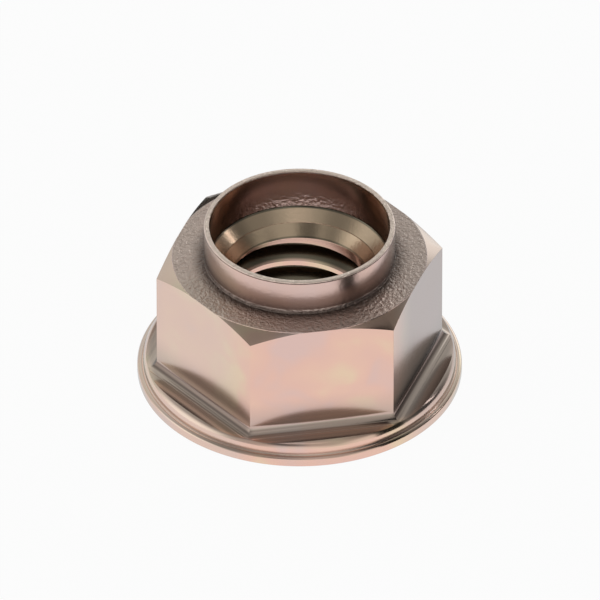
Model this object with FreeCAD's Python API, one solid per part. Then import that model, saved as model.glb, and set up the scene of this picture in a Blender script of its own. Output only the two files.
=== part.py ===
import FreeCAD, Part
import math
import os

# Hexagon flange nut with a thin round locking collar, one solid.
# Origin at the centre of the bearing face, +Z up through the collar, a hexagon corner on +X.
# Lengths are in millimetres and angles in degrees.

# Hexagon
HEX_ACROSS_FLATS = 14.2875
HEX_TOP = 8.00
HEX_CHAMFER_DIA = 14.38
HEX_CHAMFER_ANGLE = 26.8
FLATS = 6

# Flared foot of the hexagon, which stands on the flange
FOOT_FILLET = 0.51
FOOT_SHELF = 0.046
FOOT_BOTTOM = 1.23
FOOT_TIP_DIA = 17.40
FOOT_ROOT = 0.60

# Flange: bead at the rim, crease, and shoulder with a rounded crest
FLANGE_DIA = 18.50
BASE_CHAMFER = 0.12
BEAD_HEIGHT = 0.60
BEAD_RADIUS = 0.20
CREASE_ANGLE = 138.6
SHOULDER_RADIUS = 0.62
CREST = 1.41

# Long hollow between each flat and the crest
VALLEY_RADIUS = 1.44
VALLEY_SETBACK = 0.756
VALLEY_DEPTH = 0.23

# Locking collar
COLLAR_DIA = 10.85
COLLAR_WALL = 0.30
COLLAR_HEIGHT = 2.18
COLLAR_FOOT = 0.06
RIM_OUTER_CHAMFER = 0.10
RIM_INNER_CHAMFER = 0.07

# Bore: recess of the collar, two seats and a sink in the bearing face
RECESS_DEPTH = 0.32
UPPER_SEAT_DEPTH = 0.66
LOWER_SEAT_DIA = 8.93
LOWER_SEAT_DEPTH = 0.68
BASE_SINK_DIA = 9.90
BASE_SINK_ANGLE = 45.0

# Thread: 16 grooves to the inch, cut to a diameter of 3/8 inch
THREAD_MAJOR_DIA = 9.525
THREAD_MINOR_DIA = 7.80
THREAD_PITCH = 1.5875
THREAD_ROOT_FLAT = 0.1984
THREAD_FLANK = 30.0
THREAD_START = 1.007
THREAD_GROOVES = 4

OVERSHOOT = 1.0
TOUCH = 1e-6


def point(r, z):
    """Corner of a section at distance r from the axis and height z."""
    return [FreeCAD.Vector(r, 0, z)]


def arc(centre_r, centre_z, radius, start, end):
    """Start, middle and end of an arc of a section, from one direction to another."""
    points = []
    for angle in (start, (start + end) / 2, end):
        turn = math.radians(angle)
        points += point(centre_r + radius * math.cos(turn), centre_z + radius * math.sin(turn))
    return points


def section(*runs):
    """Flat face bounded by corners and arcs in order, with straight edges between them."""
    edges = []
    for run, following in zip(runs, runs[1:] + runs[:1]):
        if len(run) > 1:
            edges.append(Part.Arc(*run).toShape())
        if run[-1].distanceToPoint(following[0]) > TOUCH:
            edges.append(Part.makeLine(run[-1], following[0]))
    return Part.Face(Part.Wire(edges))


def turned(*runs):
    """Solid of revolution of a half section about the axis."""
    return section(*runs).revolve(FreeCAD.Vector(0, 0, 0), FreeCAD.Vector(0, 0, 1), 360)


def pushed(face, length):
    """Solid of a section pushed along Y, centred on the XZ plane."""
    solid = face.extrude(FreeCAD.Vector(0, length, 0))
    solid.translate(FreeCAD.Vector(0, -length / 2, 0))
    return solid


def facing_flat(shape, index):
    """Copy of a shape that faces +X, turned to face one of the flats."""
    copy = shape.copy()
    copy.rotate(FreeCAD.Vector(0, 0, 0), FreeCAD.Vector(0, 0, 1), (index + 0.5) * 360 / FLATS)
    return copy


def flange():
    """Round flange with a bead round its rim and a hollow beside each flat."""
    rim = FLANGE_DIA / 2
    bead = rim - BEAD_RADIUS
    shoulder = bead + BEAD_RADIUS * math.cos(math.radians(CREASE_ANGLE))
    disc = turned(
        point(0, 0),
        point(rim - BASE_CHAMFER, 0),
        point(rim, BASE_CHAMFER),
        arc(bead, BEAD_HEIGHT - BEAD_RADIUS, BEAD_RADIUS, 0, CREASE_ANGLE),
        arc(shoulder - SHOULDER_RADIUS, CREST - SHOULDER_RADIUS, SHOULDER_RADIUS, 0, 90),
        point(0, CREST),
    )
    valley = Part.makeCylinder(
        VALLEY_RADIUS,
        FLANGE_DIA,
        FreeCAD.Vector(
            HEX_ACROSS_FLATS / 2 + VALLEY_SETBACK,
            -FLANGE_DIA / 2,
            CREST - VALLEY_DEPTH + VALLEY_RADIUS,
        ),
        FreeCAD.Vector(0, 1, 0),
    )
    for index in range(FLATS):
        disc = disc.cut(facing_flat(valley, index))
    return disc


def hexagon():
    """Hexagon with a concave flare at its foot and corners chamfered at the top."""
    flat = HEX_ACROSS_FLATS / 2
    edge = flat + FOOT_FILLET + FOOT_SHELF
    tip = FOOT_TIP_DIA / 2
    chamfer = HEX_CHAMFER_DIA / 2
    drop = (tip - chamfer) * math.tan(math.radians(HEX_CHAMFER_ANGLE))
    solid = turned(
        point(0, FOOT_ROOT),
        point(tip, FOOT_ROOT),
        point(tip, HEX_TOP - drop),
        point(chamfer, HEX_TOP),
        point(0, HEX_TOP),
    )
    slab = pushed(
        section(
            point(-FLANGE_DIA, FOOT_ROOT),
            point(edge, FOOT_ROOT),
            point(edge, FOOT_BOTTOM),
            arc(flat + FOOT_FILLET, FOOT_BOTTOM + FOOT_FILLET, FOOT_FILLET, 270, 180),
            point(flat, HEX_TOP + OVERSHOOT),
            point(-FLANGE_DIA, HEX_TOP + OVERSHOOT),
        ),
        2 * FLANGE_DIA,
    )
    for index in range(FLATS):
        solid = solid.common(facing_flat(slab, index))
    return solid


def collar():
    """Thin round collar, solid inside, with a small cone at its foot and the edges of its rim broken."""
    outer = COLLAR_DIA / 2
    inner = outer - COLLAR_WALL
    top = HEX_TOP + COLLAR_HEIGHT
    return turned(
        point(0, HEX_TOP - RECESS_DEPTH),
        point(outer + COLLAR_FOOT, HEX_TOP - RECESS_DEPTH),
        point(outer + COLLAR_FOOT, HEX_TOP),
        point(outer, HEX_TOP + COLLAR_FOOT),
        point(outer, top - RIM_OUTER_CHAMFER),
        point(outer - RIM_OUTER_CHAMFER, top),
        point(inner + RIM_INNER_CHAMFER, top),
        point(inner, top - RIM_INNER_CHAMFER),
        point(inner, HEX_TOP),
        point(0, HEX_TOP),
    )


def bore():
    """Everything that is hollow along the axis but for the thread, as one solid to cut."""
    inner = COLLAR_DIA / 2 - COLLAR_WALL
    thread = THREAD_MINOR_DIA / 2
    sink = BASE_SINK_DIA / 2
    spread = OVERSHOOT / math.tan(math.radians(BASE_SINK_ANGLE))
    sink_depth = (sink - thread) * math.tan(math.radians(BASE_SINK_ANGLE))
    recess = HEX_TOP - RECESS_DEPTH
    step = recess - UPPER_SEAT_DEPTH
    return turned(
        point(0, -OVERSHOOT),
        point(sink + spread, -OVERSHOOT),
        point(thread, sink_depth),
        point(thread, step - LOWER_SEAT_DEPTH),
        point(LOWER_SEAT_DIA / 2, step),
        point(inner, recess),
        point(inner, HEX_TOP + COLLAR_HEIGHT + OVERSHOOT),
        point(0, HEX_TOP + COLLAR_HEIGHT + OVERSHOOT),
    )


def thread_groove(index):
    """Groove between two thread crests, counted down from the seats, as a ring to cut."""
    root = THREAD_MAJOR_DIA / 2
    inner = THREAD_MINOR_DIA / 2 - OVERSHOOT
    seats = RECESS_DEPTH + UPPER_SEAT_DEPTH + LOWER_SEAT_DEPTH
    middle = HEX_TOP - seats - THREAD_START - index * THREAD_PITCH
    narrow = THREAD_ROOT_FLAT / 2
    wide = narrow + (root - inner) * math.tan(math.radians(THREAD_FLANK))
    return turned(
        point(root, middle - narrow),
        point(root, middle + narrow),
        point(inner, middle + wide),
        point(inner, middle - wide),
    )


def nut():
    """The whole nut as one solid."""
    body = flange().fuse([hexagon(), collar()]).cut(bore())
    for index in range(THREAD_GROOVES):
        body = body.cut(thread_groove(index))
    return body.removeSplitter().Solids[0]


os.makedirs("parts", exist_ok=True)
nut().exportStep("parts/flange_lock_nut.step")
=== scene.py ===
import logging
import math
from dataclasses import dataclass, field
from enum import Enum
from typing import Callable, Dict, List, Optional, Sequence, Tuple, Union

import bmesh
import bpy
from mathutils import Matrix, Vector


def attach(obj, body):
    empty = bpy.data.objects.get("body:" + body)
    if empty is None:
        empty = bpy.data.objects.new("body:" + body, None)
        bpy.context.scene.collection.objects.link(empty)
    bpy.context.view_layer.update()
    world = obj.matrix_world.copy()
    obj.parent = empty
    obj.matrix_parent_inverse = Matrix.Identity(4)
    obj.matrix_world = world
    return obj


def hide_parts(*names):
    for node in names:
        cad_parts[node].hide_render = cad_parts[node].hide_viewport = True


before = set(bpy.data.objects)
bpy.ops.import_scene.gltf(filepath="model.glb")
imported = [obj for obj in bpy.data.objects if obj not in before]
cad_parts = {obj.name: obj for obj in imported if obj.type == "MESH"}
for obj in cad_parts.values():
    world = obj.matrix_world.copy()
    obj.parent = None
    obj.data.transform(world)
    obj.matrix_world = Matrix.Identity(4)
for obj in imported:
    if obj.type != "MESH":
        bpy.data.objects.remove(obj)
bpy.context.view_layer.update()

log = logging.getLogger("flange_lock_nut")

Point = Tuple[float, float]
Band = Tuple[float, float]
Triple = Tuple[float, float, float]
Colour = Tuple[float, float, float, float]
Socket = bpy.types.NodeSocket

# The nut is modelled in millimetres and then brought to its real size in metres.
METRE_PER_MM = 0.001
MM_PER_METRE = 1000.0
ORIGIN: Triple = (0.0, 0.0, 0.0)
FLATS = 6
HALF_FLAT = 180 / FLATS
OVERSHOOT = 1.0
MERGE_GAP = 1e-5

NUT_NODE = "flange_lock_nut"
ROOT_BODY = "root"


class Join(Enum):
    """How one solid acts on another."""

    ADD = "UNION"
    CUT = "DIFFERENCE"
    KEEP_SHARED = "INTERSECT"


class Bench:
    """Modelling bench that shapes one object at a time, in millimetres."""

    @staticmethod
    def clear() -> None:
        """Leave edit mode and deselect everything."""
        if bpy.context.object and bpy.context.object.mode != "OBJECT":
            bpy.ops.object.mode_set(mode="OBJECT")
        bpy.ops.object.select_all(action="DESELECT")

    @staticmethod
    def hold(piece: bpy.types.Object) -> None:
        """Make one object the only selected one.

        Args:
            piece: The object to select.
        """
        Bench.clear()
        piece.select_set(True)
        bpy.context.view_layer.objects.active = piece

    @staticmethod
    def edit(piece: bpy.types.Object) -> None:
        """Open one object for editing."""
        Bench.hold(piece)
        bpy.ops.object.mode_set(mode="EDIT")

    @staticmethod
    def pick_edges(piece: bpy.types.Object, wanted: Callable[[Vector], bool]) -> None:
        """Select the edges whose middle is wanted.

        Args:
            piece: The object that is open for editing.
            wanted: Test of a middle point.
        """
        bpy.ops.mesh.select_mode(type="EDGE")
        bpy.ops.mesh.select_all(action="DESELECT")
        mesh = bmesh.from_edit_mesh(piece.data)
        for edge in mesh.edges:
            edge.select_set(wanted((edge.verts[0].co + edge.verts[1].co) / 2))
        mesh.select_flush_mode()
        bmesh.update_edit_mesh(piece.data)

    @staticmethod
    def tidy(piece: bpy.types.Object) -> None:
        """Merge doubled vertices and point every face outwards.

        Args:
            piece: The object to tidy.
        """
        Bench.edit(piece)
        bpy.ops.mesh.select_all(action="SELECT")
        bpy.ops.mesh.remove_doubles(threshold=MERGE_GAP)
        bpy.ops.mesh.normals_make_consistent(inside=False)
        Bench.clear()

    @staticmethod
    def settle(piece: bpy.types.Object) -> None:
        """Move an object's place, turn and scale into its mesh.

        Args:
            piece: The object to settle.
        """
        Bench.hold(piece)
        bpy.ops.object.transform_apply(location=True, rotation=True, scale=True)
        Bench.clear()

    @staticmethod
    def combine(body: bpy.types.Object, tool: bpy.types.Object, how: Join) -> None:
        """Apply a second solid to a first one and discard it.

        Args:
            body: The solid that stays.
            tool: The solid that is used up.
            how: What the second solid does to the first.
        """
        Bench.hold(body)
        modifier = body.modifiers.new("combine", "BOOLEAN")
        modifier.operation = how.value
        modifier.solver = "EXACT"
        modifier.object = tool
        bpy.ops.object.modifier_apply(modifier=modifier.name)
        bpy.data.objects.remove(tool)
        Bench.tidy(body)

    @staticmethod
    def raise_rings(
        name: str, profile: Sequence[Point], sides: int, turn: float = 0.0
    ) -> bpy.types.Object:
        """Raise a solid from a flat disc, one ring at a time, along a half section.

        Args:
            name: Name of the object.
            profile: Distance of each ring's corners from the axis, and its height.
            sides: Number of corners of every ring.
            turn: Turn of the rings about the axis, in degrees.

        Returns:
            The closed solid.
        """
        Bench.clear()
        radius, height = profile[0]
        bpy.ops.mesh.primitive_circle_add(
            vertices=sides,
            radius=radius,
            fill_type="NGON",
            location=(0.0, 0.0, height),
            rotation=(0.0, 0.0, math.radians(turn)),
        )
        piece = bpy.context.object
        piece.name = name
        Bench.settle(piece)
        Bench.edit(piece)
        bpy.ops.mesh.select_mode(type="FACE")
        bpy.ops.mesh.select_all(action="SELECT")
        for next_radius, next_height in profile[1:]:
            step = (0.0, 0.0, next_height - height)
            bpy.ops.mesh.extrude_region_move(TRANSFORM_OT_translate={"value": step})
            share = next_radius / radius
            bpy.ops.transform.resize(
                value=(share, share, 1.0), center_override=(0.0, 0.0, next_height)
            )
            radius, height = next_radius, next_height
        Bench.tidy(piece)
        return piece


def arc(centre: Point, radius: float, start: float, end: float, steps: int) -> List[Point]:
    """Points of an arc of a half section.

    Args:
        centre: Centre of the arc.
        radius: Radius of the arc.
        start: Direction of its first point, in degrees.
        end: Direction of its last point, in degrees.
        steps: Number of straight steps in it.

    Returns:
        The points from start to end.
    """
    turns = [math.radians(start + (end - start) * index / steps) for index in range(steps + 1)]
    return [
        (centre[0] + radius * math.cos(turn), centre[1] + radius * math.sin(turn))
        for turn in turns
    ]


@dataclass
class FlangeRing:
    """Round flange with a bead at its rim, a rounded crest and a hollow beside each flat."""

    diameter: float = 18.50
    base_radius: float = 0.09
    bead_height: float = 0.60
    bead_radius: float = 0.20
    shoulder_setback: float = 0.35
    crease_round: float = 0.03
    shoulder_radius: float = 0.62
    crest: float = 1.41
    hollow_radius: float = 1.44
    hollow_distance: float = 7.899
    hollow_depth: float = 0.23
    sides: int = 288
    base_steps: int = 12
    crease_steps: int = 4
    round_steps: int = 24
    hollow_sides: int = 200

    def profile(self) -> List[Point]:
        """Half section of the ring, from the bearing face over the bead to the crest.

        Returns:
            The corners of the half section.
        """
        rim = self.diameter / 2
        shoulder = rim - self.shoulder_setback
        edge, round_over = self.base_radius, self.shoulder_radius
        bead = (rim - self.bead_radius, self.bead_height - self.bead_radius)
        gap = shoulder + self.crease_round - bead[0]
        lift = math.sqrt((self.bead_radius + self.crease_round) ** 2 - gap**2)
        crease = math.degrees(math.atan2(lift, gap))
        crease_middle = (bead[0] + gap, bead[1] + lift)
        crest_middle = (shoulder - round_over, self.crest - round_over)
        return [
            *arc((rim - edge, edge), edge, -90, 0, self.base_steps),
            *arc(bead, self.bead_radius, 0, crease, self.round_steps),
            *arc(crease_middle, self.crease_round, crease + 180, 180, self.crease_steps)[1:],
            *arc(crest_middle, round_over, 0, 90, self.round_steps),
        ]

    def hollow_bar(self, direction: float) -> bpy.types.Object:
        """Long round bar that cuts the hollow beside one flat.

        Args:
            direction: Direction of the flat, in degrees.

        Returns:
            The bar.
        """
        Bench.clear()
        turn = math.radians(direction)
        bpy.ops.mesh.primitive_cylinder_add(
            vertices=self.hollow_sides,
            radius=self.hollow_radius,
            depth=self.diameter,
            location=(
                self.hollow_distance * math.cos(turn),
                self.hollow_distance * math.sin(turn),
                self.crest - self.hollow_depth + self.hollow_radius,
            ),
            rotation=(math.radians(90), 0.0, turn),
        )
        bar = bpy.context.object
        Bench.settle(bar)
        return bar

    def build(self) -> bpy.types.Object:
        """Make the ring.

        Returns:
            The ring as a closed solid.
        """
        ring = Bench.raise_rings("flange_ring", self.profile(), self.sides)
        for index in range(FLATS):
            Bench.combine(ring, self.hollow_bar((2 * index + 1) * HALF_FLAT), Join.CUT)
        return ring


@dataclass
class HexagonHead:
    """Hexagon with chamfered top corners and a flared foot."""

    across_flats: float = 14.2875
    top: float = 8.00
    chamfer_diameter: float = 14.38
    chamfer_angle: float = 26.8
    foot_fillet: float = 0.51
    foot_shelf: float = 0.046
    foot_bottom: float = 1.23
    foot_tip_diameter: float = 17.40
    root: float = 0.60
    blank_root: float = 0.50
    edge_break: float = 0.045
    edge_segments: int = 3
    edge_angle: float = 24.0
    sides: int = 240
    arc_steps: int = 14

    def flared_prism(self) -> bpy.types.Object:
        """Six-sided prism that spreads at its foot.

        Returns:
            The prism.
        """
        flat = self.across_flats / 2
        spread = flat + self.foot_fillet + self.foot_shelf
        middle = (flat + self.foot_fillet, self.foot_bottom + self.foot_fillet)
        distances = [
            (spread, self.root),
            (spread, self.foot_bottom),
            *arc(middle, self.foot_fillet, 270, 180, self.arc_steps),
            (flat, self.top + OVERSHOOT),
        ]
        corner = math.cos(math.radians(HALF_FLAT))
        rings = [(distance / corner, height) for distance, height in distances]
        return Bench.raise_rings("hexagon_head", rings, FLATS, HALF_FLAT)

    def chamfered_round(self) -> bpy.types.Object:
        """Round blank whose top cone gives the corners their chamfer.

        Returns:
            The blank.
        """
        tip = self.foot_tip_diameter / 2
        ring = self.chamfer_diameter / 2
        drop = (tip - ring) * math.tan(math.radians(self.chamfer_angle))
        profile = [(tip, self.blank_root), (tip, self.top - drop), (ring, self.top)]
        return Bench.raise_rings("round_blank", profile, self.sides)

    def build(self) -> bpy.types.Object:
        """Make the hexagon with its sharp edges slightly broken.

        Returns:
            The hexagon as a closed solid.
        """
        head = self.flared_prism()
        Bench.combine(head, self.chamfered_round(), Join.KEEP_SHARED)
        Bench.hold(head)
        bevel = head.modifiers.new("edge_break", "BEVEL")
        bevel.width = self.edge_break
        bevel.segments = self.edge_segments
        bevel.limit_method = "ANGLE"
        bevel.angle_limit = math.radians(self.edge_angle)
        bpy.ops.object.modifier_apply(modifier=bevel.name)
        Bench.tidy(head)
        return head


@dataclass
class LockingCollar:
    """Thin round collar on the hexagon's top, still solid inside."""

    diameter: float = 10.85
    height: float = 2.18
    foot_cone: float = 0.06
    rim_radius: float = 0.10
    hexagon_top: float = 8.00
    root: float = 7.60
    sides: int = 256
    arc_steps: int = 6

    def build(self) -> bpy.types.Object:
        """Make the collar.

        Returns:
            The collar as a closed solid.
        """
        outer = self.diameter / 2
        top = self.hexagon_top + self.height
        rim = self.rim_radius
        profile = [
            (outer + self.foot_cone, self.root),
            (outer + self.foot_cone, self.hexagon_top),
            (outer, self.hexagon_top + self.foot_cone),
            *arc((outer - rim, top - rim), rim, 0, 90, self.arc_steps),
        ]
        return Bench.raise_rings("locking_collar", profile, self.sides)


@dataclass
class BoreTool:
    """Round tool that opens the collar, both seats, the bore and the sink at the bottom."""

    collar_radius: float = 5.125
    rim_radius: float = 0.07
    rim_top: float = 10.18
    recess_floor: float = 7.68
    seat_step: float = 7.02
    seat_radius: float = 4.465
    seat_ledge: float = 0.05
    thread_top: float = 6.34
    thread_radius: float = 3.90
    sink_radius: float = 4.95
    sides: int = 256
    arc_steps: int = 5

    def build(self) -> bpy.types.Object:
        """Make the tool.

        Returns:
            The tool as a closed solid.
        """
        sink_depth = self.sink_radius - self.thread_radius
        rim = self.rim_radius
        rim_middle = (self.collar_radius + rim, self.rim_top - rim)
        profile = [
            (self.sink_radius + OVERSHOOT, -OVERSHOOT),
            (self.thread_radius, sink_depth),
            (self.thread_radius, self.thread_top),
            (self.seat_radius, self.seat_step),
            (self.seat_radius, self.seat_step + self.seat_ledge),
            (self.collar_radius, self.recess_floor),
            *arc(rim_middle, rim, 180, 90, self.arc_steps),
            (self.collar_radius + rim, self.rim_top + OVERSHOOT),
        ]
        return Bench.raise_rings("bore_tool", profile, self.sides)


@dataclass
class ThreadTool:
    """Cutter that follows a right-hand helix and leaves the thread in the bore."""

    major_radius: float = 4.7625
    minor_radius: float = 3.90
    pitch: float = 1.5875
    root_flat: float = 0.1984
    flank_angle: float = 30.0
    crest_break: float = 0.05
    reach: float = 0.30
    low: float = -1.0
    known_height: float = 5.333
    known_direction: float = 79.83
    full_until: float = 163.0
    fade_turn: float = 110.0
    steps_per_turn: int = 72

    def section(self) -> bpy.types.Object:
        """Flat cutter section at the start of the helix, standing in the radial plane.

        Returns:
            The section, open for editing with its inner edge selected.
        """
        Bench.clear()
        middle = (self.major_radius + self.minor_radius) / 2
        centre = (middle, 0.0, self.low)
        depth = self.major_radius - self.minor_radius
        slope = math.tan(math.radians(self.flank_angle))
        upright = (math.radians(90), 0.0, 0.0)
        bpy.ops.mesh.primitive_plane_add(size=1.0, location=centre, rotation=upright)
        cutter = bpy.context.object
        cutter.name = "thread_tool"
        cutter.scale = (depth, self.root_flat, 1.0)
        Bench.settle(cutter)
        Bench.edit(cutter)
        Bench.pick_edges(cutter, lambda spot: spot.x < middle - depth / 4)
        wide = 1.0 + 2 * depth * slope / self.root_flat
        bpy.ops.transform.resize(value=(1.0, 1.0, wide), center_override=centre)
        bpy.ops.transform.translate(value=(self.crest_break, 0.0, 0.0))
        inward = (-self.reach, 0.0, 0.0)
        bpy.ops.mesh.extrude_region_move(TRANSFORM_OT_translate={"value": inward})
        width = self.root_flat * wide
        wider = 1.0 + 2 * self.reach / width
        bpy.ops.transform.resize(value=(1.0, 1.0, wider), center_override=centre)
        return cutter

    def fade(self, past: float) -> float:
        """How large the section is while it is drawn in, as a share of its full size.

        Args:
            past: How much of the drawing in is done, from nought to one.

        Returns:
            The share, which falls gently until the section clears the thread.
        """
        gone = (self.minor_radius - self.reach / 3) / self.major_radius
        return 1.0 - (1.0 - gone) * past * past * (3 - 2 * past)

    def build(self) -> bpy.types.Object:
        """Sweep the section up the helix and draw it in towards the axis at the end.

        Returns:
            The cutter as a closed solid.
        """
        cutter = self.section()
        rise_to_known = self.known_height - self.low
        start = self.known_direction - rise_to_known / self.pitch * 360
        step = 360 / self.steps_per_turn
        full_steps = round((self.full_until - start) / step)
        fade_steps = round(self.fade_turn / step)
        upward = (0.0, 0.0, self.pitch / self.steps_per_turn)
        Bench.edit(cutter)
        bpy.ops.mesh.select_mode(type="FACE")
        bpy.ops.mesh.select_all(action="SELECT")
        size = 1.0
        for index in range(full_steps + fade_steps):
            bpy.ops.mesh.extrude_region_move(TRANSFORM_OT_translate={"value": upward})
            bpy.ops.transform.rotate(
                value=-math.radians(step), orient_axis="Z", center_override=ORIGIN
            )
            next_size = self.fade(max(0.0, (index + 1 - full_steps) / fade_steps))
            if next_size < size:
                share = next_size / size
                bpy.ops.transform.resize(value=(share, share, 1.0), center_override=ORIGIN)
                size = next_size
        Bench.tidy(cutter)
        cutter.rotation_euler = (0.0, 0.0, math.radians(start))
        Bench.settle(cutter)
        return cutter


Number = Union["Term", float]


class Term:
    """Socket of a shader graph that takes part in plain arithmetic."""

    def __init__(self, graph: "Graph", socket: Socket) -> None:
        """Wrap an output socket of one of a graph's nodes."""
        self.graph = graph
        self.socket = socket

    def __add__(self, other: Number) -> "Term":
        """Sum."""
        return self.graph.maths("ADD", self, other)

    __radd__ = __add__

    def __sub__(self, other: Number) -> "Term":
        """Difference."""
        return self.graph.maths("SUBTRACT", self, other)

    def __rsub__(self, other: Number) -> "Term":
        """Difference from a number."""
        return self.graph.maths("SUBTRACT", other, self)

    def __mul__(self, other: Number) -> "Term":
        """Product."""
        return self.graph.maths("MULTIPLY", self, other)

    __rmul__ = __mul__

    def __pow__(self, other: Number) -> "Term":
        """Power."""
        return self.graph.maths("POWER", self, other)

    def __abs__(self) -> "Term":
        """Size without its sign."""
        return self.graph.maths("ABSOLUTE", self)


@dataclass(frozen=True)
class Clouds:
    """Shape of a cloudy noise, its scale in clouds per millimetre."""

    scale: float
    detail: float = 2.0
    roughness: float = 0.5
    distortion: float = 0.0


class Graph:
    """Node graph of one material or of the world."""

    # Numbers of the sockets that a mix node uses for colours
    MIX_SHARE, MIX_LOW, MIX_HIGH, MIX_RESULT = 0, 6, 7, 2

    def __init__(self, tree: bpy.types.NodeTree) -> None:
        """Empty a node tree and start a graph in it."""
        self.tree = tree
        self.tree.nodes.clear()

    @classmethod
    def new_material(cls, name: str) -> Tuple[bpy.types.Material, "Graph"]:
        """Start a material.

        Args:
            name: Name of the material.

        Returns:
            The material and its empty graph.
        """
        material = bpy.data.materials.new(name)
        material.use_nodes = True
        return material, cls(material.node_tree)

    def add(
        self,
        kind: str,
        inputs: Optional[Dict[Union[str, int], object]] = None,
        **settings: object,
    ) -> bpy.types.Node:
        """Add a node.

        Args:
            kind: Type name of the node.
            inputs: Values or links of its sockets, by name or number.
            settings: Settings of the node, which are set first.

        Returns:
            The node.
        """
        node = self.tree.nodes.new(kind)
        for name, value in settings.items():
            setattr(node, name, value)
        for name, value in (inputs or {}).items():
            socket = node.inputs[name]
            if isinstance(value, Term):
                self.tree.links.new(value.socket, socket)
            elif isinstance(value, Socket):
                self.tree.links.new(value, socket)
            else:
                socket.default_value = value
        return node

    def maths(self, operation: str, *values: Number) -> Term:
        """Add one step of arithmetic.

        Args:
            operation: Name of the operation.
            values: Its operands.

        Returns:
            The result.
        """
        node = self.add("ShaderNodeMath", dict(enumerate(values)), operation=operation)
        return Term(self, node.outputs[0])

    def larger(self, first: Number, second: Number) -> Term:
        """Larger of two values."""
        return self.maths("MAXIMUM", first, second)

    def rise(self, value: Term, band: Band) -> Term:
        """Smooth step from nought to one.

        Args:
            value: Value to test.
            band: Values at which the step starts and ends.

        Returns:
            The step.
        """
        node = self.add(
            "ShaderNodeMapRange",
            {"Value": value, "From Min": band[0], "From Max": band[1]},
            interpolation_type="SMOOTHSTEP",
        )
        return Term(self, node.outputs[0])

    def fall(self, value: Term, band: Band) -> Term:
        """Smooth step from one to nought."""
        return 1.0 - self.rise(value, band)

    def between(self, value: Term, low: Band, high: Band) -> Term:
        """Smooth step up over a low band and down again over a high one."""
        return self.rise(value, low) * self.fall(value, high)

    def blend(self, share: Number, low: object, high: object) -> Socket:
        """Mix two colours.

        Args:
            share: Share of the second colour.
            low: First colour.
            high: Second colour.

        Returns:
            The mixed colour.
        """
        inputs = {self.MIX_SHARE: share, self.MIX_LOW: low, self.MIX_HIGH: high}
        return self.add("ShaderNodeMix", inputs, data_type="RGBA").outputs[self.MIX_RESULT]

    def ramp(self, share: Term, stops: Sequence[Tuple[float, Triple]]) -> Socket:
        """Run through a row of colours.

        Args:
            share: Place in the row, from nought to one.
            stops: Place and colour of each stop, in order.

        Returns:
            The colour.
        """
        node = self.add("ShaderNodeValToRGB", {0: share})
        elements = node.color_ramp.elements
        while len(elements) < len(stops):
            elements.new(1.0)
        for element, (place, tone) in zip(elements, stops):
            element.position = place
            element.color = opaque(tone)
        return node.outputs[0]

    def along(self, value: Term) -> Socket:
        """Vector that varies only with one value."""
        return self.add("ShaderNodeCombineXYZ", {0: value}).outputs[0]

    def noise(self, place: Socket, clouds: Clouds) -> Term:
        """Cloudy noise from nought to one.

        Args:
            place: Vector that it follows.
            clouds: Shape of the noise.

        Returns:
            The noise.
        """
        inputs = {
            "Vector": place,
            "Scale": clouds.scale,
            "Detail": clouds.detail,
            "Roughness": clouds.roughness,
            "Distortion": clouds.distortion,
        }
        return Term(self, self.add("ShaderNodeTexNoise", inputs).outputs["Fac"])


def opaque(tone: Triple) -> Colour:
    """Colour with full opacity."""
    return (*tone, 1.0)


def grey(level: float) -> Colour:
    """Opaque neutral colour."""
    return (level, level, level, 1.0)


@dataclass(frozen=True)
class SurfaceBands:
    """Where one zone of the nut's surface gives way to the next, in millimetres.

    Each band holds the place where a change starts and the place where it ends.
    """

    # Distances from the axis
    thread_crest: Band = (3.93, 4.10)
    thread_root: Band = (4.85, 4.95)
    recess_side: Band = (5.06, 5.11)
    rim_inner: Band = (5.15, 5.22)
    rim_outer: Band = (5.30, 5.38)
    collar_shade: Band = (5.40, 6.35)
    crest_side: Band = (8.40, 8.75)
    crease_inner: Band = (8.80, 8.88)
    crease_outer: Band = (9.02, 9.12)

    # Heights above the bearing face
    crease_low: Band = (0.46, 0.52)
    crease_high: Band = (0.62, 0.72)
    bead_top: Band = (0.50, 1.40)
    sink_top: Band = (0.90, 1.20)
    flare_low: Band = (1.26, 1.36)
    flare_high: Band = (1.56, 1.66)
    foot_fade: Band = (1.30, 3.70)
    thread_top: Band = (6.28, 6.36)
    seats_low: Band = (6.30, 6.38)
    seat_edge_low: Band = (6.33, 6.37)
    seat_edge_high: Band = (6.40, 6.46)
    recess_edge_low: Band = (7.58, 7.65)
    recess_edge_high: Band = (7.70, 7.78)
    wall_low: Band = (7.62, 7.75)
    wall_smooth: Band = (7.90, 9.30)
    hexagon_top: Band = (7.97, 7.995)
    collar_low: Band = (8.02, 8.30)
    collar_shade_top: Band = (8.02, 9.05)
    rim_low: Band = (10.04, 10.11)

    # Distances from the middle, along the corners' direction
    flare_corner: Band = (3.90, 4.40)
    side_flats: Band = (4.00, 5.60)
    right_flat: Band = (4.00, 5.80)

    # Distances from the middle, square to the nearest pair of flats
    flare_inner: Band = (6.90, 7.00)
    flare_outer: Band = (7.40, 7.50)


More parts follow.
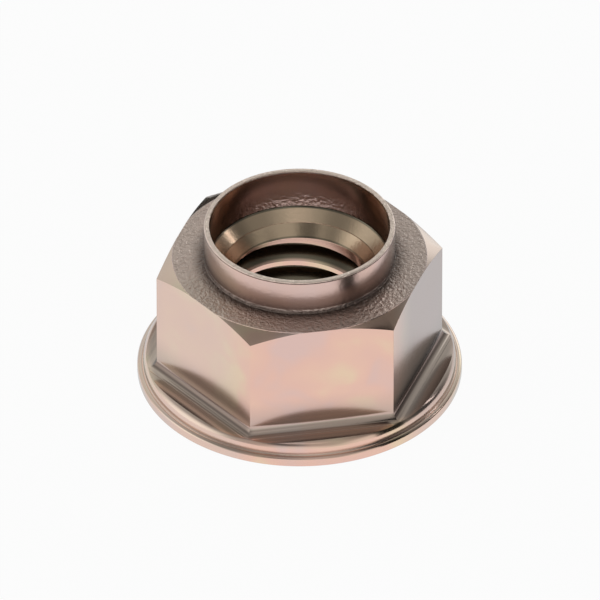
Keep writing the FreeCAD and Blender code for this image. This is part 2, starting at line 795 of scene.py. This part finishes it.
class SurfaceMap:
    """Zones of the nut's surface, each a mask from nought to one."""

    def __init__(self, graph: Graph, place: Socket) -> None:
        """Find where each point lies, and the zones that others are cut from.

        Args:
            graph: Graph to work in.
            place: Place of each point, in millimetres.
        """
        bands = SurfaceBands()
        self.graph = graph
        self.bands = bands
        parts = graph.add("ShaderNodeSeparateXYZ", {0: place})
        x, y, z = (Term(graph, parts.outputs[index]) for index in range(3))
        self.x, self.y, self.z = x, y, z
        self.radius = (x * x + y * y) ** 0.5
        self.flat_distance = self.measure_to_flats()

        self.inside = graph.fall(self.radius, bands.rim_inner) * graph.rise(z, bands.sink_top)
        by_recess = graph.rise(self.radius, bands.recess_side)
        self.wall = self.inside * by_recess * graph.rise(z, bands.wall_low)
        self.seats = self.inside * (1.0 - by_recess) * graph.rise(z, bands.seats_low)
        self.outside = graph.rise(self.radius, bands.rim_outer)
        self.above = graph.rise(z, bands.collar_low)
        self.on_top = graph.rise(z, bands.hexagon_top)
        self.top_face = self.on_top * (1.0 - self.inside) * (1.0 - self.above)
        self.collar = self.outside * self.above
        self.rim = graph.rise(z, bands.rim_low)

    def measure_to_flats(self) -> Term:
        """Distance from the axis, measured square to the nearest pair of flats.

        Returns:
            The distance.
        """
        distance = abs(self.y)
        for lean in (-2 * HALF_FLAT, 2 * HALF_FLAT):
            turn = math.radians(lean)
            across = self.y * math.cos(turn) + self.x * math.sin(turn)
            distance = self.graph.larger(distance, abs(across))
        return distance

    def by_radius(self, low: Band, high: Band) -> Term:
        """Ring between two distances from the axis."""
        return self.graph.between(self.radius, low, high)

    def by_height(self, low: Band, high: Band) -> Term:
        """Layer between two heights."""
        return self.graph.between(self.z, low, high)

    def groove(self) -> Term:
        """Groove of the thread, where shade is painted."""
        ring = self.by_radius(self.bands.thread_crest, self.bands.thread_root)
        return ring * self.by_height(self.bands.sink_top, self.bands.thread_top)

    def side_flats(self) -> Term:
        """Flats on either side of the front and back ones, toned with a painted reflection."""
        return self.graph.rise(abs(self.x), self.bands.side_flats)

    def right_flats(self) -> Term:
        """Flats on the right, above the bead, where shade is painted."""
        above_bead = self.graph.rise(self.z, self.bands.bead_top)
        return self.graph.rise(self.x, self.bands.right_flat) * above_bead

    def foot(self) -> Term:
        """Foot of the hexagon and the hollows of the flange, where shade is painted."""
        low = self.graph.fall(self.z, self.bands.foot_fade)
        return low * self.graph.fall(self.radius, self.bands.crest_side)

    def flare(self) -> Term:
        """Middle of the flare at the foot of the side flats, where shade is painted.

        Returns:
            The zone.
        """
        bands = self.bands
        layer = self.by_height(bands.flare_low, bands.flare_high)
        strip = self.graph.between(self.flat_distance, bands.flare_inner, bands.flare_outer)
        return layer * strip * self.graph.rise(abs(self.x), bands.flare_corner)

    def crease(self) -> Term:
        """Crease between the bead and the shoulder, where light is painted."""
        ring = self.by_radius(self.bands.crease_inner, self.bands.crease_outer)
        return ring * self.by_height(self.bands.crease_low, self.bands.crease_high)

    def recess_edge(self) -> Term:
        """Edge between the collar's wall and the upper seat, where shade is painted."""
        bands = self.bands
        return self.inside * self.by_height(bands.recess_edge_low, bands.recess_edge_high)

    def seat_edge(self) -> Term:
        """Edge between the lower seat and the thread, where shade is painted."""
        return self.inside * self.by_height(self.bands.seat_edge_low, self.bands.seat_edge_high)

    def collar_shade(self) -> Term:
        """Top face close to the collar, and the foot of the collar's outside, where shade is
        painted.
        """
        ring = self.by_radius(self.bands.rim_outer, self.bands.collar_shade)
        return ring * self.on_top * self.graph.fall(self.z, self.bands.collar_shade_top)

    def low_wall(self) -> Term:
        """Lower part of the wall inside the collar."""
        return self.wall * self.graph.fall(self.z, self.bands.wall_smooth)


@dataclass(frozen=True)
class PassivatedZinc:
    """Warm film on zinc plating, smooth on the flats and grained on the top face, with painted
    shade and light.
    """

    # Colours of the film, some of them painted shade and one painted light, and where in the
    # clouds the first four lie
    lilac: Triple = (0.730, 0.515, 0.465)
    pink: Triple = (0.790, 0.515, 0.430)
    peach: Triple = (0.810, 0.535, 0.430)
    straw: Triple = (0.800, 0.610, 0.440)
    # Painted reflection: the side flats are toned greyer and yellower than the front and back
    side_painted_reflection: Triple = (0.700, 0.580, 0.500)
    # Painted shade: the right side above the bead is darker brown, less so on the top face
    right_painted_shade: Triple = (0.530, 0.405, 0.365)
    top_taupe: Triple = (0.640, 0.490, 0.445)
    rim_taupe: Triple = (0.930, 0.730, 0.645)
    seat_straw: Triple = (0.620, 0.450, 0.315)
    # Painted shade: the wall inside the collar is darker brown
    inner_painted_shade: Triple = (0.560, 0.405, 0.355)
    # Painted shade low on the hexagon and in the flange's hollows
    foot_painted_shade: Triple = (0.470, 0.375, 0.335)
    # Painted light: lightens the crease between the bead and the shoulder
    crease_painted_light: Triple = (0.960, 0.760, 0.680)
    # Painted shade: dark brown in the flare at the foot and on the top face by the collar
    painted_corner_shade: Triple = (0.230, 0.165, 0.145)
    # Painted shade: dark in the thread's groove and along the edges of the seats
    groove_painted_shade: Triple = (0.210, 0.170, 0.125)
    edge_tint: Triple = (0.75, 0.85, 0.90)
    cloud_stops: Tuple[float, ...] = (0.34, 0.47, 0.58, 0.70)

    # Share of each colour where it is strongest
    side_share: float = 0.5
    top_share: float = 0.75
    right_share: float = 0.9
    right_less_on_top: float = 0.35
    foot_share: float = 0.3
    streak_share: float = 0.9
    flare_share: float = 0.9
    seat_share: float = 0.9
    seat_edge_share: float = 0.7
    collar_share: float = 0.6

    # Roughness
    smooth: float = 0.19
    grained: float = 0.38
    collar_roughness: float = 0.05
    cloud_roughness: float = 0.06

    # Noise, and the height of the grain in metres
    film_clouds: Clouds = Clouds(0.30, 2.0, 0.45, 0.4)
    # Streaks of painted shade along the flats at the foot
    shade_streaks: Clouds = Clouds(7.0, 2.0, 0.6)
    peel: Clouds = Clouds(5.2, 2.0, 0.5, 0.1)
    peel_height: float = 0.000120
    collar_peel: float = 0.05
    wall_peel: float = 0.28
    seat_peel: float = 0.04

    def film(self, zones: SurfaceMap, cloud: Term) -> Socket:
        """Colour of the film: its clouds, and then the tone of each zone over them, some of it
        painted shade and light.

        Args:
            zones: Zones of the surface.
            cloud: Noise that the clouds follow.

        Returns:
            The colour.
        """
        graph = zones.graph
        cloud_tones = (self.lilac, self.pink, self.peach, self.straw)
        shade_streaks = graph.noise(graph.along(zones.flat_distance), self.shade_streaks)
        right_share = self.right_share - zones.top_face * self.right_less_on_top
        # Edges of the seats, where shade is painted
        bore_edges = graph.larger(zones.recess_edge(), zones.seat_edge() * self.seat_edge_share)
        layers = [
            # Painted reflection tone on the side flats
            (zones.side_flats() * self.side_share, self.side_painted_reflection),
            (zones.top_face * self.top_share, self.top_taupe),
            # Painted shade on the right side
            (zones.right_flats() * right_share, self.right_painted_shade),
            # Painted shade at the foot, with darker streaks along the flats
            (zones.foot() * (self.foot_share + shade_streaks * self.streak_share), self.foot_painted_shade),
            # Painted shade in the flare
            (zones.flare() * self.flare_share, self.painted_corner_shade),
            # Painted light in the crease
            (zones.crease(), self.crease_painted_light),
            (zones.seats * self.seat_share, self.seat_straw),
            # Painted shade on the wall inside the collar
            (zones.wall, self.inner_painted_shade),
            # Painted shade along the seats' edges and in the thread's groove
            (bore_edges, self.groove_painted_shade),
            (zones.groove(), self.groove_painted_shade),
            # Painted shade on the top face by the collar
            (zones.collar_shade(), self.painted_corner_shade),
            (zones.rim, self.rim_taupe),
            (zones.collar * (1.0 - zones.rim) * self.collar_share, self.top_taupe),
        ]
        film = graph.ramp(cloud, list(zip(self.cloud_stops, cloud_tones)))
        for share, tone in layers:
            film = graph.blend(share, film, opaque(tone))
        return film

    def build(self) -> bpy.types.Material:
        """Make the finish.

        Returns:
            The material.
        """
        material, graph = Graph.new_material("passivated_zinc")
        coords = graph.add("ShaderNodeTexCoord").outputs["Object"]
        to_mm = {"Vector": coords, "Scale": (MM_PER_METRE,) * 3}
        place = graph.add("ShaderNodeMapping", to_mm).outputs[0]
        zones = SurfaceMap(graph, place)
        cloud = graph.noise(place, self.film_clouds)
        grain = graph.larger(zones.top_face, zones.rim)
        relief = (
            grain
            + zones.collar * self.collar_peel
            + zones.low_wall() * self.wall_peel
            + zones.seats * self.seat_peel
        )
        height = graph.noise(place, self.peel) * relief
        bump = graph.add(
            "ShaderNodeBump", {"Strength": 1.0, "Distance": self.peel_height, "Height": height}
        )
        roughness = (
            self.smooth
            + grain * (self.grained - self.smooth)
            + zones.collar * self.collar_roughness
            + (cloud - 0.5) * self.cloud_roughness
        )
        shader = graph.add(
            "ShaderNodeBsdfPrincipled",
            {
                "Base Color": self.film(zones, cloud),
                "Metallic": 1.0,
                "Specular Tint": opaque(self.edge_tint),
                "Roughness": roughness,
                "Normal": bump.outputs[0],
            },
        )
        graph.add("ShaderNodeOutputMaterial", {"Surface": shader.outputs[0]})
        return material


@dataclass
class FlangeLockNut:
    """The whole nut in one piece, threaded through."""

    flange: FlangeRing = field(default_factory=FlangeRing)
    head: HexagonHead = field(default_factory=HexagonHead)
    collar: LockingCollar = field(default_factory=LockingCollar)
    bore: BoreTool = field(default_factory=BoreTool)
    thread: ThreadTool = field(default_factory=ThreadTool)
    finish: PassivatedZinc = field(default_factory=PassivatedZinc)
    smooth_angle: float = 24.0
    shading_weight: int = 80

    def model(self) -> bpy.types.Object:
        """Join the solids, cut the bore and its thread, and bring the nut to its real size.

        Returns:
            The nut.
        """
        nut = self.head.build()
        Bench.combine(nut, self.flange.build(), Join.ADD)
        Bench.combine(nut, self.collar.build(), Join.ADD)
        Bench.combine(nut, self.bore.build(), Join.CUT)
        Bench.combine(nut, self.thread.build(), Join.CUT)
        nut.name = "hexagon_flange_nut"
        nut.data.name = "hexagon_flange_nut"
        nut.scale = (METRE_PER_MM,) * 3
        Bench.settle(nut)
        return nut

    def dress(self, nut: bpy.types.Object) -> None:
        """Give the nut its shading and its finish.

        Args:
            nut: The modelled nut.
        """
        Bench.hold(nut)
        bpy.ops.object.shade_smooth_by_angle(angle=math.radians(self.smooth_angle))
        weighted = nut.modifiers.new("even_shading", "WEIGHTED_NORMAL")
        weighted.keep_sharp = True
        weighted.weight = self.shading_weight
        bpy.ops.object.modifier_apply(modifier=weighted.name)
        nut.data.materials.clear()
        nut.data.materials.append(self.finish.build())
        Bench.clear()

    def build(self) -> bpy.types.Object:
        """Make the nut and hand it to the frame.

        Returns:
            The finished nut.
        """
        nut = self.model()
        self.dress(nut)
        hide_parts(NUT_NODE)
        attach(nut, ROOT_BODY)
        return nut


@dataclass(frozen=True)
class SoftLamp:
    """Soft box that faces the nut, its place in degrees and its lengths in metres."""

    name: str
    azimuth: float
    elevation: float
    distance: float
    width: float
    height: float
    brightness: float


@dataclass(frozen=True)
class ShadeCard:
    """Dark card beside the nut that the metal mirrors and the camera doesn't see."""

    name: str
    azimuth: float
    elevation: float
    distance: float
    width: float
    height: float
    level: float


@dataclass(frozen=True)
class RoomPatch:
    """Lighter or darker patch of the room round the nut, in degrees."""

    azimuth: float
    elevation: float
    spread: float
    strength: float


@dataclass
class Studio:
    """Pale floor, soft lamps, dark cards, the world and the camera, in metres."""

    middle: Triple = (0.0, 0.0, 0.004858)
    view_azimuth: float = -10.17
    view_elevation: float = 37.14
    view_distance: float = 1.2
    frame_width: float = 0.034106
    sensor_width: float = 36.0
    clip: Band = (0.05, 20.0)
    sideways: float = 0.0000244
    floor_size: float = 4.0
    floor_height: float = -0.00002
    floor_grey: float = 0.92
    floor_white: float = 0.95
    room_tint: Triple = (0.93, 1.0, 0.96)
    room_level: float = 0.50
    lamps: Sequence[SoftLamp] = (
        SoftLamp("key_lamp", -10.0, 54.0, 0.9, 0.40, 0.16, 0.25),
        SoftLamp("strip_lamp", 96.0, 27.0, 0.5, 0.03, 0.15, 3.0),
    )
    cards: Sequence[ShadeCard] = (
        ShadeCard("back_card", -174.0, 0.0, 0.032, 0.012, 0.0094, 0.03),
        ShadeCard("right_card", 37.8, 15.6, 0.0135, 0.0044, 0.0170, 0.03),
    )
    patches: Sequence[RoomPatch] = (
        RoomPatch(-92.0, 5.0, 40.0, 0.80),
        RoomPatch(-10.0, 0.0, 32.0, 0.48),
        RoomPatch(40.0, 8.0, 30.0, 0.40),
        RoomPatch(146.0, 10.0, 24.0, 1.15),
        RoomPatch(-155.0, 22.0, 36.0, 0.25),
        RoomPatch(170.0, 37.0, 34.0, 0.08),
        RoomPatch(88.0, 16.0, 34.0, -0.44),
        RoomPatch(-72.0, 42.0, 26.0, -0.26),
        RoomPatch(60.0, 48.0, 26.0, -0.22),
        RoomPatch(-24.0, 41.0, 18.0, -0.38),
        RoomPatch(106.0, 58.0, 24.0, -0.34),
        RoomPatch(-111.0, 76.0, 28.0, -0.24),
    )

    @staticmethod
    def toward(azimuth: float, elevation: float) -> Vector:
        """Direction from the nut to a place in the studio.

        Args:
            azimuth: Turn about the nut, nought in front, in degrees.
            elevation: Height above the horizon, in degrees.

        Returns:
            The unit direction.
        """
        turn, rise = math.radians(azimuth), math.radians(elevation)
        level = math.cos(rise)
        return Vector((math.sin(turn) * level, -math.cos(turn) * level, math.sin(rise)))

    def aim(
        self, thing: bpy.types.Object, azimuth: float, elevation: float, distance: float
    ) -> None:
        """Place a thing round the nut and turn it to face the nut.

        Args:
            thing: Lamp, card or camera.
            azimuth: Turn about the nut, in degrees.
            elevation: Height above the horizon, in degrees.
            distance: Distance from the nut's middle.
        """
        out = self.toward(azimuth, elevation)
        thing.location = Vector(self.middle) + out * distance
        thing.rotation_euler = (-out).to_track_quat("-Z", "Y").to_euler()

    def lay_floor(self) -> None:
        """Lay a white floor that keeps the nut's shadow and is clear from below."""
        Bench.clear()
        spot = (0.0, 0.0, self.floor_height)
        bpy.ops.mesh.primitive_plane_add(size=self.floor_size, location=spot)
        floor = bpy.context.object
        floor.name = "studio_floor"
        material, graph = Graph.new_material("white_floor")
        rays = graph.add("ShaderNodeLightPath").outputs
        camera, glossy, clear = (
            Term(graph, rays[name])
            for name in ("Is Camera Ray", "Is Glossy Ray", "Is Transmission Ray")
        )
        seen = graph.larger(camera, graph.larger(glossy, clear)) * self.floor_white
        paper = graph.add("ShaderNodeBsdfDiffuse", {"Color": grey(self.floor_grey)}).outputs[0]
        white = graph.add("ShaderNodeEmission", {"Color": grey(1.0), "Strength": 1.0}).outputs[0]
        both = graph.add("ShaderNodeMixShader", {0: seen, 1: paper, 2: white}).outputs[0]
        below = graph.add("ShaderNodeNewGeometry").outputs["Backfacing"]
        glass = graph.add("ShaderNodeBsdfTransparent").outputs[0]
        sheet = graph.add("ShaderNodeMixShader", {0: below, 1: both, 2: glass}).outputs[0]
        graph.add("ShaderNodeOutputMaterial", {"Surface": sheet})
        floor.data.materials.append(material)

    def hang_lamps(self) -> None:
        """Hang the soft boxes."""
        for lamp in self.lamps:
            light = bpy.data.lights.new(lamp.name, "AREA")
            light.shape = "RECTANGLE"
            light.size = lamp.width
            light.size_y = lamp.height
            light.energy = lamp.brightness * math.pi * lamp.width * lamp.height
            thing = bpy.data.objects.new(lamp.name, light)
            bpy.context.scene.collection.objects.link(thing)
            thing.visible_camera = False
            self.aim(thing, lamp.azimuth, lamp.elevation, lamp.distance)

    def stand_cards(self) -> None:
        """Stand the dark cards that only the metal mirrors."""
        for card in self.cards:
            Bench.clear()
            bpy.ops.mesh.primitive_plane_add(size=1.0)
            sheet = bpy.context.object
            sheet.name = card.name
            sheet.scale = (card.width, card.height, 1.0)
            self.aim(sheet, card.azimuth, card.elevation, card.distance)
            sheet.visible_camera = False
            sheet.visible_diffuse = False
            sheet.visible_shadow = False
            material, graph = Graph.new_material(card.name)
            felt = graph.add("ShaderNodeBsdfDiffuse", {"Color": grey(card.level)})
            graph.add("ShaderNodeOutputMaterial", {"Surface": felt.outputs[0]})
            sheet.data.materials.append(material)

    def light_world(self) -> None:
        """Fill the room with soft light, brighter on some sides and darker on others."""
        world = bpy.data.worlds.new("studio_room")
        bpy.context.scene.world = world
        world.use_nodes = True
        graph = Graph(world.node_tree)
        outward = graph.add("ShaderNodeTexCoord").outputs["Generated"]
        level = Term(graph, graph.add("ShaderNodeValue").outputs[0])
        level.socket.default_value = self.room_level
        for patch in self.patches:
            middle = self.toward(patch.azimuth, patch.elevation)
            facing = graph.add(
                "ShaderNodeVectorMath", {0: outward, 1: middle}, operation="DOT_PRODUCT"
            )
            edge = math.cos(math.radians(patch.spread))
            near = graph.rise(Term(graph, facing.outputs["Value"]), (edge, 1.0))
            level = level + near * patch.strength
        tinted = {"Color": opaque(self.room_tint), "Strength": level}
        room = graph.add("ShaderNodeBackground", tinted).outputs[0]
        plain = {"Color": grey(1.0), "Strength": 1.0}
        white = graph.add("ShaderNodeBackground", plain).outputs[0]
        seen = graph.add("ShaderNodeLightPath").outputs["Is Camera Ray"]
        both = graph.add("ShaderNodeMixShader", {0: seen, 1: room, 2: white}).outputs[0]
        graph.add("ShaderNodeOutputWorld", {"Surface": both})

    def set_camera(self) -> None:
        """Set up the long lens in front of the nut."""
        lens = bpy.data.cameras.new("long_lens")
        lens.sensor_width = self.sensor_width
        lens.lens = self.sensor_width * self.view_distance / self.frame_width
        lens.clip_start, lens.clip_end = self.clip
        camera = bpy.data.objects.new("long_lens", lens)
        bpy.context.scene.collection.objects.link(camera)
        self.aim(camera, self.view_azimuth, self.view_elevation, self.view_distance)
        turn = math.radians(self.view_azimuth)
        camera.location += Vector((math.cos(turn), math.sin(turn), 0.0)) * self.sideways
        bpy.context.scene.camera = camera

    def build(self) -> None:
        """Set up the whole studio."""
        self.lay_floor()
        self.hang_lamps()
        self.stand_cards()
        self.light_world()
        self.set_camera()
        bpy.context.scene.view_settings.view_transform = "Standard"


def main() -> None:
    """Build the nut and its studio, and note the sizes of both models."""
    logging.basicConfig(level=logging.INFO, format="%(name)s: %(message)s")
    nut = FlangeLockNut().build()
    log.info("%s: %d faces", nut.name, len(nut.data.polygons))
    studio = Studio()
    studio.build()
    log.info("studio: %d lamps, %d patches of the room", len(studio.lamps), len(studio.patches))


if __name__ == "__main__":
    main()
